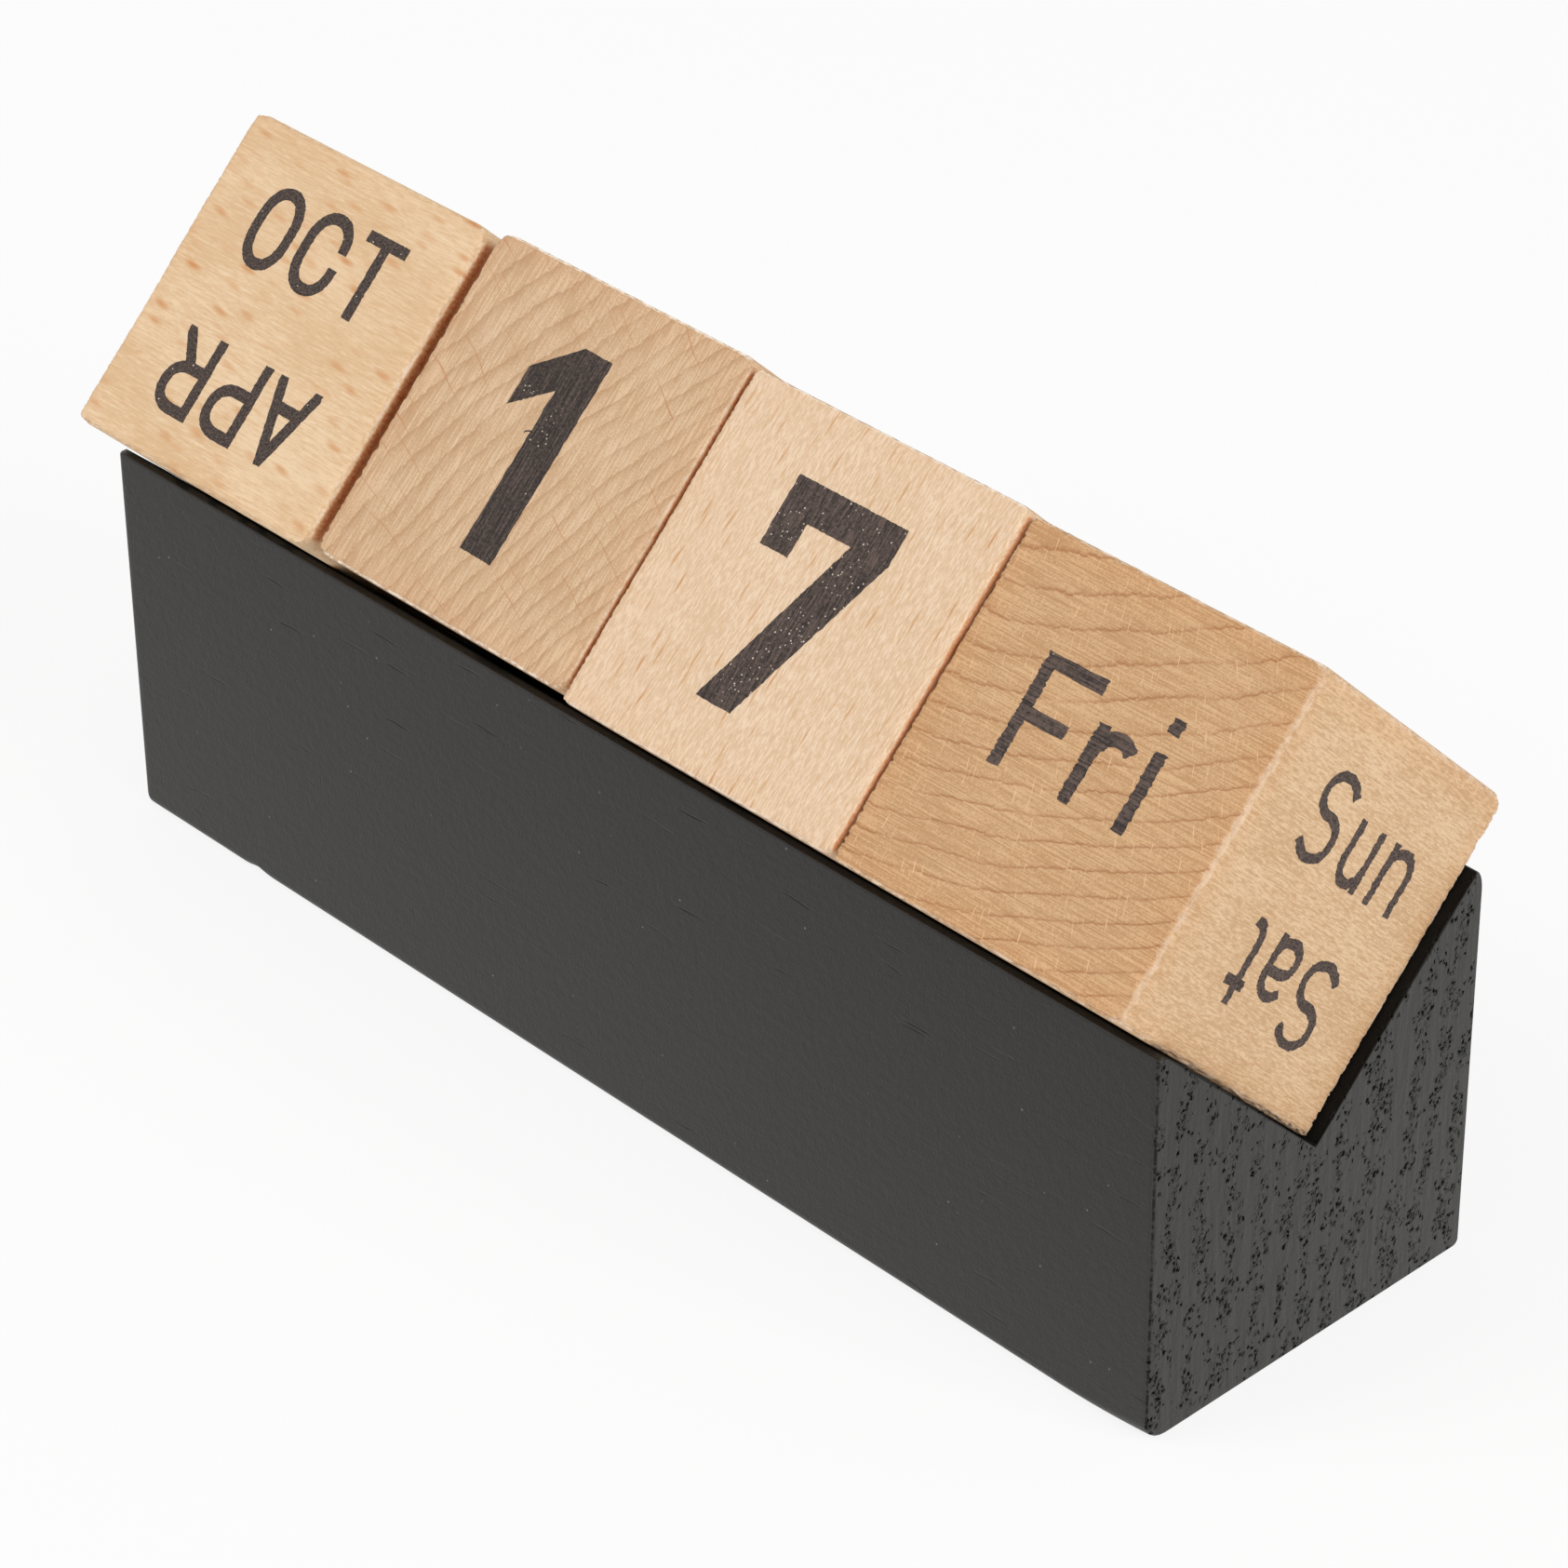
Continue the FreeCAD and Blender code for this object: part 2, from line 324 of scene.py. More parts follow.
def block_mesh(low, high):
    """The section carried along the block in many stations, its ends eased, its foot
    planed a little unevenly, worn at the right and chipped in one place."""
    chip_place, chip_reach, chip_depth = FOOT_CHIP
    worn_reach, worn_more = FOOT_WORN
    first, last = low.x + LEFT_ROUND, high.x - THIN_ROUND
    turns = [math.pi / 2 * step / LEFT_STEPS for step in range(LEFT_STEPS, 0, -1)]
    stations = [(first - LEFT_ROUND * math.sin(turn), LEFT_ROUND * (1 - math.cos(turn)))
                for turn in turns]
    stations += [(first + (last - first) * step / STATIONS, 0.0) for step in range(STATIONS + 1)]
    turns = [math.pi / 2 * step / RIGHT_STEPS for step in range(1, RIGHT_STEPS + 1)]
    stations += [(last + THIN_ROUND * math.sin(turn), THIN_ROUND * (1 - math.cos(turn)))
                 for turn in turns]
    bm = bmesh.new()
    rows = []
    for x, inset in stations:
        row = []
        worn = max(0.0, 1 - (high.x - x) / worn_reach) ** 2
        for y, z in block_outline(low, high, inset, FRONT_FOOT_ROUND + worn_more * worn):
            wave = max(0.0, noise.noise(Vector((x * 45, y * 20, 3.1)))) * FOOT_WAVE
            if y < 0:
                wave += chip_depth * math.exp(-(((x - chip_place) / chip_reach) ** 2))
            foot = max(0.0, 1 - (z - low.z) / FOOT_BAND)
            row.append(bm.verts.new((x, y, z + foot * wave)))
        rows.append(row)
    for one, other in zip(rows, rows[1:]):
        for index in range(len(one)):
            after = (index + 1) % len(one)
            bm.faces.new((one[index], one[after], other[after], other[index]))
    for row in (rows[0], rows[-1]):
        bm.faces.new(row)
    bmesh.ops.recalc_face_normals(bm, faces=bm.faces)
    for face in bm.faces:
        face.smooth = True
    for edge in bm.edges:
        edge.smooth = edge.calc_face_angle(0) < SHARP_FROM
    return faced_mesh(bm, "painted_block")


def faced_mesh(bm, name):
    """A mesh of the faces that were just modelled."""
    mesh = bpy.data.meshes.new(name)
    bm.to_mesh(mesh)
    bm.free()
    return mesh


def new_piece(name, mesh):
    """Links an object for a mesh into the scene."""
    piece = bpy.data.objects.new(name, mesh)
    bpy.context.scene.collection.objects.link(piece)
    return piece


block_low, block_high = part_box(BLOCK)
painted_block = new_piece("painted_block", block_mesh(block_low, block_high))
painted_block.data.materials.append(black_paint(block_low, block_high))
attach(painted_block, "block")
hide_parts(BLOCK)


# Cubes
# Four cubes crosscut from planed beech sticks, each with its grain its own way. Their
# edges are barely eased by tumbling, and the crosscut fibres stay crushed and ragged.
TILT = math.radians(45)
FILM = 0.02 * MM
# How each stick's grain lies, the rounds of its edges, and the wear of the hindmost one
CUTS = {
    "month": dict(
        turn=(0, math.pi / 2, 0), rounds=(0.6, 1.0, 2.2), seed=3.0, worn=0.2,
        cells=(97, 171, 97),
    ),
    "tens": dict(
        turn=(0, 0, 0), rounds=(0.35, 0.35, 2.0), seed=11.0, worn=0.2,
        cells=(141, 151, 81),
    ),
    "units": dict(
        turn=(-math.pi / 2, 0, 0), rounds=(0.3, 0.6, 1.1), seed=23.0, worn=0.2,
        cells=(97, 171, 97),
    ),
    "weekday": dict(
        turn=(0, 0, 0), rounds=(0.35, 0.45, 0.8), seed=41.0, worn=1.4,
        cells=(97, 171, 97),
    ),
}
# The figure in millimetres, the colours as a screen shows them, and tints that multiply;
# the left and right ones are painted shade and reflected light for the gaps between cubes
FIGURE = {
    "month": dict(
        pith=(-70, 14, 0), ring_width=6.5, ring_spread=0.0, ring_wander=5.0, ring_depth=0.5,
        ring_side=0.28, ring_sharpness=4.0, sector=3.0, step=0.5, cloud=1.3,
        ray_cell=(2.4, 3.0, 5.0), ray_size=(0.85, 1.8, 2.2), ray_slant=0.15, ray_depth=0.95,
        saw=(0.3, 5.0, 0.5), saw_depth=1.2, fibres=1.2, crush=0.6, teeth=0.8, fuzz=1.0,
        blush=0.15, burr=0.25, glow=1.5, plain=(235, 207, 171), deep=(217, 181, 139),
        line=(214, 176, 134), ray=(204, 140, 84), side_ray=(204, 140, 84),
        crushed=(240, 222, 202), end_tint=(1, 1, 1), left_gap_shade_tint=(1, 1, 1),
        right_gap_shade_tint=(0.80, 0.50, 0.36),
    ),
    "tens": dict(
        pith=(125, -62, 0), ring_width=2.35, ring_spread=-0.3, ring_wander=4.2,
        ring_depth=0.64, ring_side=0.2, ring_sharpness=3.0, sector=1.2, step=0.24, cloud=0.9,
        ray_cell=(1.6, 9.0, 3.0), ray_size=(0.13, 6.5, 1.7), ray_slant=0.0, ray_depth=1.0,
        saw=(4.4, 0.15, 0.3), saw_depth=2.8, fibres=0.9, crush=0.5, teeth=0.4, fuzz=3.0,
        blush=0.3, burr=1.0, glow=0.4, plain=(227, 195, 160), deep=(205, 168, 130),
        line=(183, 138, 98), ray=(196, 138, 92), side_ray=(190, 128, 80),
        crushed=(238, 220, 198), end_tint=(1, 1, 1), left_gap_shade_tint=(0.95, 0.66, 0.42),
        right_gap_shade_tint=(0.80, 0.50, 0.34),
    ),
    "units": dict(
        pith=(10, -90, 0), ring_width=7.5, ring_spread=0.0, ring_wander=3.0, ring_depth=0.4,
        ring_side=0.2, ring_sharpness=4.0, sector=3.0, step=0.4, cloud=0.7,
        ray_cell=(1.3, 2.6, 5.4), ray_size=(0.26, 1.6, 2.3), ray_slant=0.05, ray_depth=0.95,
        saw=(3.8, 0.5, 0.3), saw_depth=2.8, fibres=1.0, crush=0.3, teeth=0.5, fuzz=3.7,
        blush=0.15, burr=0.6, glow=0.4, plain=(236, 209, 180), deep=(219, 186, 150),
        line=(216, 180, 142), ray=(200, 142, 88), side_ray=(200, 142, 88),
        crushed=(244, 226, 204), end_tint=(0.8, 0.72, 0.66), left_gap_shade_tint=(0.96, 0.74, 0.50),
        right_gap_shade_tint=(0.86, 0.46, 0.24),
    ),
    "weekday": dict(
        pith=(-30, 85, 0), ring_width=3.0, ring_spread=0.25, ring_wander=2.6, ring_depth=0.74,
        ring_side=0.06, ring_sharpness=17.0, sector=1.2, step=0.22, cloud=0.8,
        ray_cell=(1.0, 2.7, 2.4), ray_size=(0.085, 1.25, 1.4), ray_slant=0.0, ray_depth=1.0,
        saw=(0.14, 5.4, 0.35), saw_depth=2.2, fibres=0.7, crush=0.75, teeth=0.7, fuzz=2.6,
        blush=0.42, burr=0.5, glow=0.4, plain=(220, 189, 152), deep=(194, 157, 117),
        line=(164, 112, 70), ray=(244, 216, 178), side_ray=(196, 152, 108),
        crushed=(234, 212, 188), end_tint=(1.0, 0.895, 0.785), left_gap_shade_tint=(0.78, 0.46, 0.26),
        right_gap_shade_tint=(1, 1, 1),
    ),
}
LATE_WOOD = 0.93
CRUSH_LEAST, CRUSH_MORE = 0.12 * MM, 0.25 * MM


def socket_label(key):
    """The name of the beech group's socket that takes a value of the figure."""
    return key.replace("_", " ").title()


def socket_kind(key):
    """The kind of that socket: three coordinates, a colour or a number."""
    if key in ("place", "stick", "pith", "ray_cell", "ray_size", "saw"):
        return "Vector"
    return "Color" if isinstance(FIGURE["month"].get(key), tuple) else "Float"


def srgb(red, green, blue):
    """A colour as a screen shows it, from 0 to 255, as the light that it reflects."""
    def light(value):
        share = value / 255
        return share / 12.92 if share <= 0.04045 else ((share + 0.055) / 1.055) ** 2.4
    return (light(red), light(green), light(blue), 1.0)


def edge_distance(tree, spot, half):
    """How far a point on a cube's surface lies from the nearest edge."""
    reach = split(tree, vector_calc(tree, "ABSOLUTE", spot))
    most = calc(tree, "MAXIMUM", reach[0], reach[1])
    least = calc(tree, "MINIMUM", reach[0], reach[1])
    middle = calc(tree, "MAXIMUM", least, calc(tree, "MINIMUM", most, reach[2]))
    return minus(tree, half, middle)


def cut_cube_tree():
    """A cube cut from a stick: a fine box whose edges are eased unevenly and crushed here
    and there, tipped on its edge and set down in its place."""
    inputs = [("Edge", "Float"), ("Rounds", "Vector"), ("Worn", "Float")]
    inputs += [(f"Cells {axis}", "Int") for axis in "XYZ"]
    inputs += [("Crush", "Float"), ("Seed", "Float"), ("Place", "Vector"), ("Tilt", "Float")]
    inputs += [("Finish", "Material")]
    tree, given, result = new_group("cut_cube", "GeometryNodeTree", inputs, [("Cube", "Geometry")])
    ones = (1, 1, 1)
    size = scaled(tree, ones, given["Edge"])
    counts = {f"Vertices {axis}": given[f"Cells {axis}"] for axis in "XYZ"}
    box = put(tree, "GeometryNodeMeshCube", {"Size": size, **counts})
    half = times(tree, given["Edge"], 0.5)
    here = put(tree, "GeometryNodeInputPosition").outputs[0]
    shift = scaled(tree, ones, given["Seed"])

    # Closer cells towards the edges
    unit = vector_calc(tree, "DIVIDE", here, scaled(tree, ones, half))
    swell = vector_calc(tree, "SINE", scaled(tree, unit, math.pi))
    unit = vector_calc(tree, "ADD", unit, scaled(tree, swell, 0.55 / math.pi))
    point = scaled(tree, unit, half)

    # Each family of edges is rounded with its own radius, which wanders along the edge
    field = vector_calc(tree, "ADD", scaled(tree, point, 1 / MM), shift)
    slow = grain_noise(tree, field, (0.05, 0.05, 0.05), detail=0.0)
    quick = grain_noise(tree, field, (0.55, 0.55, 0.55))
    wander = plus(tree, slow, 0.6, plus(tree, quick, 0.4, 0.5))
    worn_way = vector_calc(tree, "DOT_PRODUCT", unit, (0, 1, -1))
    worn = times(tree, ramp(tree, worn_way, 1.5, 1.9), given["Worn"])
    radii = split(tree, given["Rounds"])
    for axis in (2, 1, 0):
        keep = [0.0 if index == axis else 1.0 for index in range(3)]
        radius = times(tree, radii[axis], wander)
        if axis == 0:
            radius = calc(tree, "ADD", radius, worn)
        inner = minus(tree, half, radius)
        reach = vector_calc(tree, "ABSOLUTE", point)
        over = vector_calc(tree, "SUBTRACT", reach, scaled(tree, ones, inner))
        over = vector_calc(tree, "MULTIPLY", vector_calc(tree, "MAXIMUM", over, (0, 0, 0)), keep)
        parts = split(tree, over)
        most = calc(tree, "MAXIMUM", calc(tree, "MAXIMUM", parts[0], parts[1]), parts[2])
        span = calc(tree, "MAXIMUM", vector_calc(tree, "LENGTH", over), 1e-9)
        pull = minus(tree, calc(tree, "DIVIDE", most, span), 1.0)
        inside = calc(tree, "GREATER_THAN", most, 1e-9)
        change = scaled(tree, over, times(tree, pull, inside))
        side = vector_calc(tree, "SIGN", point)
        point = vector_calc(tree, "ADD", point, vector_calc(tree, "MULTIPLY", change, side))
    shaped = put(tree, "GeometryNodeSetPosition", {"Geometry": box.outputs[0], "Position": point})

    # Fibres crushed and torn out along the edges
    spot = put(tree, "GeometryNodeInputPosition").outputs[0]
    near_edge = ramp(tree, edge_distance(tree, spot, half), 0.1 * MM, 0.8 * MM, *FALL)
    torn = vector_calc(tree, "ADD", scaled(tree, spot, 1 / MM), shift)
    torn = ramp(tree, grain_noise(tree, torn, (1.9, 1.9, 1.9), rough=0.7), 0.42, 0.66)
    depth = times(tree, times(tree, torn, near_edge), given["Crush"])
    normal = put(tree, "GeometryNodeInputNormal").outputs[0]
    push = scaled(tree, normal, times(tree, depth, -1.0))
    crushed = put(tree, "GeometryNodeSetPosition", {"Geometry": shaped.outputs[0], "Offset": push})

    turn = put(tree, "ShaderNodeCombineXYZ", {0: given["Tilt"]})
    sockets = {0: crushed.outputs[0], "Translation": given["Place"], "Rotation": turn.outputs[0]}
    stood = put(tree, "GeometryNodeTransform", sockets)
    soft = put(tree, "GeometryNodeSetShadeSmooth", {0: stood.outputs[0]})
    real = put(tree, "GeometryNodeRealizeInstances", {0: soft.outputs[0]})
    sockets = {"Geometry": real.outputs[0], "Material": given["Finish"]}
    final = put(tree, "GeometryNodeSetMaterial", sockets)
    tree.links.new(final.outputs[0], result["Cube"])
    return tree


def grown(name, tree, values):
    """Makes a piece with a node tree and turns it into a plain mesh."""
    piece = new_piece(name, bpy.data.meshes.new(name))
    modifier = piece.modifiers.new("form", "NODES")
    modifier.node_group = tree
    for item in tree.interface.items_tree:
        if item.in_out == "INPUT":
            modifier[item.identifier] = values[item.name]
    graph = bpy.context.evaluated_depsgraph_get()
    mesh = bpy.data.meshes.new_from_object(piece.evaluated_get(graph))
    piece.modifiers.clear()
    piece.data = mesh
    return piece


def beech_group():
    """Solid beech: year rings round a pith, rays that run out from it, fibres, saw and
    sanding marks, and pale crushed fibres at the cube's edges."""
    keys = ("place", "stick", "half_edge", *FIGURE["month"])
    inputs = [(socket_label(key), socket_kind(key)) for key in keys]
    outputs = [("Color", "Color"), ("Roughness", "Float"), ("Height", "Float")]
    tree, given, result = new_group("solid_beech", "ShaderNodeTree", inputs, outputs)
    place, stick, half = given["Place"], given["Stick"], given["Half Edge"]
    grain_way = split(tree, stick)[2]
    on_end = minus(tree, half, calc(tree, "ABSOLUTE", grain_way))
    on_end = ramp(tree, on_end, 0.05, 0.25, *FALL)

    # Year rings, broken into small steps where the broad rays cross them
    from_pith = vector_calc(tree, "SUBTRACT", stick, given["Pith"])
    from_pith = vector_calc(tree, "MULTIPLY", from_pith, (1, 1, 0))
    around = split(tree, from_pith)
    reach = vector_calc(tree, "LENGTH", given["Pith"])
    arc = times(tree, calc(tree, "ARCTAN2", around[1], around[0]), reach)
    lean = grain_noise(tree, stick, (0.12, 0.12, 0.06), detail=1.0)
    arc = plus(tree, lean, 2.0, arc)
    out = minus(tree, vector_calc(tree, "LENGTH", from_pith), reach)
    spread = times(tree, times(tree, out, out), given["Ring Spread"])
    radius = plus(tree, spread, 1 / 40, out)
    sway = minus(tree, grain_noise(tree, stick, (0.07, 0.07, 0.02), detail=1.0), 0.5)
    radius = plus(tree, sway, given["Ring Wander"], radius)
    fine = minus(tree, grain_noise(tree, stick, (1.3, 1.3, 0.05)), 0.5)
    radius = plus(tree, fine, times(tree, given["Step"], 1.2), radius)
    sector = calc(tree, "DIVIDE", arc, given["Sector"])
    sockets = {"W": calc(tree, "FLOOR", sector)}
    jump = put(tree, "ShaderNodeTexWhiteNoise", sockets, noise_dimensions="1D")
    bulge = minus(tree, calc(tree, "FRACT", sector), 0.5)
    bulge = times(tree, times(tree, bulge, bulge), 1.6)
    step = calc(tree, "ADD", jump.outputs["Value"], bulge)
    radius = plus(tree, step, given["Step"], radius)
    phase = calc(tree, "FRACT", calc(tree, "DIVIDE", radius, given["Ring Width"]))
    late = calc(tree, "MINIMUM", calc(tree, "DIVIDE", phase, LATE_WOOD), 1.0)
    late = calc(tree, "POWER", late, given["Ring Sharpness"])
    late = times(tree, late, ramp(tree, phase, LATE_WOOD, 1.0, *FALL))
    fade = grain_noise(tree, stick, (0.16, 0.16, 0.05), detail=1.0)
    fade = ramp(tree, fade, 0.25, 0.6, 0.35, 1.0)
    ring_depth = ramp(tree, on_end, 0.0, 1.0, given["Ring Side"], given["Ring Depth"])
    line = times(tree, times(tree, late, fade), ring_depth)

    # Rays: thin plates that point away from the pith, short along the grain
    slanted = plus(tree, grain_way, given["Ray Slant"], arc)
    unrolled = put(tree, "ShaderNodeCombineXYZ", {0: slanted, 1: out, 2: grain_way}).outputs[0]
    cell = vector_calc(tree, "DIVIDE", unrolled, given["Ray Cell"])
    nearest, draw = scattered(tree, cell, 1.0)
    apart = vector_calc(tree, "SUBTRACT", cell, nearest["Position"])
    apart = vector_calc(tree, "MULTIPLY", apart, given["Ray Cell"])
    apart = vector_calc(tree, "LENGTH", vector_calc(tree, "DIVIDE", apart, given["Ray Size"]))
    ray = times(tree, ramp(tree, apart, 0.1, 1.0, *FALL), draw[0])
    ray = times(tree, ray, given["Ray Depth"])

    # Fibres, pores and the marks of saw and sander
    fibre = grain_noise(tree, stick, (3.0, 3.0, 0.3), detail=3.0, rough=0.65)
    pores = grain_noise(tree, stick, (4.2, 4.2, 0.9), rough=0.8)
    cloud = grain_noise(tree, stick, (0.13, 0.13, 0.06))
    marks = grain_noise(tree, place, given["Saw"], detail=3.0, rough=0.7)
    finer = vector_calc(tree, "MULTIPLY", given["Saw"], (1.3, 1.3, 1.3))
    scratch = grain_noise(tree, place, finer, detail=1.0)
    on_face = ramp(tree, on_end, 0.0, 1.0, 0.4, 1.0)
    scratch = times(tree, ramp(tree, scratch, 0.6, 0.72), ramp(tree, on_end, 0.0, 1.0, 0.1, 1.0))
    marks = plus(tree, scratch, -0.22, marks)
    rubbed = times(tree, minus(tree, marks, 0.48), given["Saw Depth"])
    rubbed = times(tree, rubbed, on_face)
    grown_in = times(tree, minus(tree, fibre, 0.5), given["Fibres"])
    speckle = minus(tree, pores, 0.5)
    tone = plus(tree, minus(tree, cloud, 0.5), given["Cloud"], 0.5)
    for sign, strength in ((rubbed, 2.0), (grown_in, 1.5), (speckle, given["Fuzz"])):
        tone = plus(tree, sign, strength, tone)

    # Crushed fibres: a wide pale band on the right-hand and hindmost edges, else a thin one
    inset = edge_distance(tree, place, half)
    spot = split(tree, place)
    hind = calc(tree, "MAXIMUM", spot[0], times(tree, spot[2], -1.0))
    side = ramp(tree, hind, minus(tree, half, 1.6), minus(tree, half, 1.2))
    width = plus(tree, minus(tree, given["Crush"], 0.22), side, 0.22)
    uneven = minus(tree, grain_noise(tree, place, (0.8, 0.8, 0.8), detail=4.0, rough=0.65), 0.5)
    inset = plus(tree, times(tree, uneven, width), 2.6, inset)
    inset = calc(tree, "DIVIDE", inset, width)
    worn = times(tree, ramp(tree, inset, 0.2, 1.0, *FALL), 0.55)

    colour = mixed(tree, ramp(tree, tone, 0.0, 1.0), given["Plain"], given["Deep"])
    colour = mixed(tree, line, colour, given["Line"])
    colour = mixed(tree, ray, colour, mixed(tree, on_end, given["Side Ray"], given["Ray"]))
    colour = mixed(tree, on_end, colour, given["End Tint"], "MULTIPLY")
    colour = mixed(tree, worn, colour, given["Crushed"])

    # A white burr of torn fibres along the upper and lower edges
    lip = minus(tree, half, calc(tree, "ABSOLUTE", spot[1]))
    lip = calc(tree, "MAXIMUM", lip, edge_distance(tree, place, half))
    lip = plus(tree, uneven, 0.5, lip)
    lip = times(tree, ramp(tree, lip, 0.12, 0.38, *FALL), given["Burr"])
    colour = mixed(tree, lip, colour, srgb(252, 242, 228))

    # Wood turns warmer towards the edges, where the saw rubbed it
    rubbed_warm = plus(tree, uneven, 5.0, edge_distance(tree, place, half))
    rubbed_warm = times(tree, ramp(tree, rubbed_warm, 0.4, 5.0, *FALL), given["Blush"])
    colour = mixed(tree, rubbed_warm, colour, (1.0, 0.86, 0.74, 1), "MULTIPLY")

    # Painted shade and orange reflected light from the gaps between the cubes: a narrow strip
    # of both sides beside the date face, darker deeper in on the right, with torn fibre ends paler
    # in it
    teeth = ramp(tree, grain_noise(tree, place, (0.5, 2.4, 1.6), detail=1.0), 0.42, 0.58)
    under = minus(tree, half, spot[2])
    buried = ramp(tree, under, 0.3, 2.2)
    strip = ramp(tree, under, given["Glow"], calc(tree, "ADD", given["Glow"], 1.0), *FALL)
    for way, label in ((-1.0, "Left Gap Shade Tint"), (1.0, "Right Gap Shade Tint")):
        reach = times(tree, spot[0], way)
        fold = ramp(tree, reach, minus(tree, half, 0.17), minus(tree, half, 0.03))
        fold = times(tree, fold, strip)
        gap_shade = mixed(tree, times(tree, teeth, given["Teeth"]), given[label], (1, 1, 1, 1))
        gap_shade = mixed(tree, 0.65, given[label], gap_shade)
        if way > 0:
            gap_shade = mixed(tree, buried, gap_shade, given[label], "MULTIPLY")
        colour = mixed(tree, fold, colour, gap_shade, "MULTIPLY")
    height = plus(tree, fibre, 0.03, times(tree, pores, 0.05))
    height = plus(tree, rubbed, -0.05, height)
    height = plus(tree, line, -0.05, height)
    tree.links.new(colour, result["Color"])
    tree.links.new(plus(tree, fibre, 0.2, 0.5), result["Roughness"])
    tree.links.new(height, result["Height"])
    return tree


def beech(name, turn, centre, edge, group):
    """One cube's own beech, with its grain the way that the cube was cut."""
    material = new_material(f"{name}_beech")
    tree = material.node_tree
    grain = Matrix.Rotation(TILT, 3, "X") @ Euler(turn).to_matrix()
    node = put(tree, "ShaderNodeGroup", node_tree=group)
    tree.links.new(local_place(tree, centre, (TILT, 0, 0)), node.inputs["Place"])
    tree.links.new(local_place(tree, centre, grain.to_euler()), node.inputs["Stick"])
    for key, value in {**FIGURE[name], "half_edge": edge / 2 / MM}.items():
        if socket_kind(key) == "Color":
            value = (*value, 1) if key.endswith("tint") else srgb(*value)
        node.inputs[socket_label(key)].default_value = value
    colour, roughness, height = node.outputs
    finish_shader(tree, colour, roughness, height, 0.3)
    return material


cube_tree = cut_cube_tree()
beech_figure = beech_group()
for name, spec in CUTS.items():
    low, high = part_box(f"{name}_cube")
    centre = (low + high) / 2
    edge = high.x - low.x
    values = {
        "Edge": edge - 2 * FILM, "Rounds": Vector(spec["rounds"]) * MM,
        "Worn": spec["worn"] * MM, "Crush": CRUSH_LEAST + FIGURE[name]["crush"] * CRUSH_MORE,
        "Seed": spec["seed"], "Place": centre, "Tilt": TILT,
        "Finish": beech(name, spec["turn"], centre, edge, beech_figure),
    }
    values.update({f"Cells {axis}": count for axis, count in zip("XYZ", spec["cells"])})
    cube = grown(f"beech_{name}", cube_tree, values)
    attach(cube, name)
    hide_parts(f"{name}_cube")


# Print
# Every face of a cube carries its words or figure in dark brown pad print, drawn with a
# plain stroke and a little ragged where the grain lifts it. Faces with two words have
# the second one upside down, for when the cube is turned round.
ARC_STEPS = 8
ARC_POWER = 2 / 2.2
INK_STEP = 0.32
WELD = 2e-5
RAG_SEED = 5
LETTER_SEED_STEP = 1.7
STRAIGHT = 1e-4
X_HEIGHT = 0.697
WIDTHS = dict(
    A=.70, B=.66, C=.68, D=.68, E=.62, F=.64, G=.69, J=.55, L=.60, M=.82, N=.69, O=.67,
    P=.65, R=.65, S=.67, T=.65, U=.67, V=.70, W=.95, Y=.70, a=.54, d=.57, e=.57, h=.57,
    i=.136, n=.57, o=.57, r=.466, t=.36, u=.535, hair=1.7,
)
DIGIT_WIDTH = 0.64
STROKES = dict(
    A=["0,0 .5,1 1,0", ".2,.3 .8,.3"],
    B=["0,0 0,1 .45,1)1,.78(.45,.54 0,.54", "0,0 .5,0)1,.27(.5,.54 0,.54"],
    C=["1,.62 1,.64(.5,1)0,.6 0,.4(.5,0)1,.36 1,.4"],
    D=["0,0 0,1 .35,1)1,.65 1,.35(.35,0 0,0"],
    E=["1,1 0,1 0,0 1,0", "0,.52 .85,.52"],
    F=["0,0 0,1 1,1", "0,.477 .9,.477"],
    G=["1,.68(.5,1)0,.65 0,.35(.5,0)1,.35 1,.46 .5,.46"],
    J=["1,1 1,.3(.5,0)0,.28"],
    L=["0,1 0,0 1,0"],
    M=["0,0 0,1 .5,.3 1,1 1,0"],
    N=["0,0 0,1", "1,0 1,1", "0,1 1,0"],
    O=["0,.42 0,.58(.5,1)1,.58 1,.42(.5,0)0,.42"],
    P=["0,0 0,1 .45,1)1,.72 1,.69(.45,.4 0,.4"],
    R=["0,0 0,1 .45,1)1,.73 1,.7(.45,.42 0,.42", ".5,.42 1,0"],
    S=["1,.84<.52,1)0,.75(.5,.52)1,.27(.48,0>0,.15"],
    T=["0,1 1,1", ".5,1 .5,0"],
    U=["0,1 0,.33(.5,0)1,.33 1,1"],
    V=["0,1 .5,0 1,1"],
    W=["0,1 .26,0 .5,.72 .74,0 1,1"],
    Y=["0,1 .5,.45 1,1", ".5,.45 .5,0"],
    a=[".04,.86<.46,1)1,.68 1,0", "1,.58 .5,.58)0,.3(.45,0)1,.28"],
    d=["1,0 1,1", "1,.47(.5,.653)0,.42 0,.25(.5,0)1,.18"],
    e=["0,.5 1,.5 1,.58(.5,1)0,.6 0,.4(.5,0>1,.13"],
    h=["0,0 0,1", "0,.4(.52,.653)1,.43 1,0"],
    i=[".5,0 .5,.726", ".5,.92 .5,1"],
    n=["0,0 0,1", "0,.6(.52,1)1,.63 1,0"],
    o=["0,.4 0,.6(.5,1)1,.6 1,.4(.5,0)0,.4"],
    r=["0,0 0,1", "0,.5(.62,1>1,.88"],
    t=[".36,.98 .36,.2(1,0", "0,.71 1,.71"],
    u=["0,1 0,.37(.5,0)1,.4", "1,1 1,0"],
    hair=["0,.2<1,1"],
)
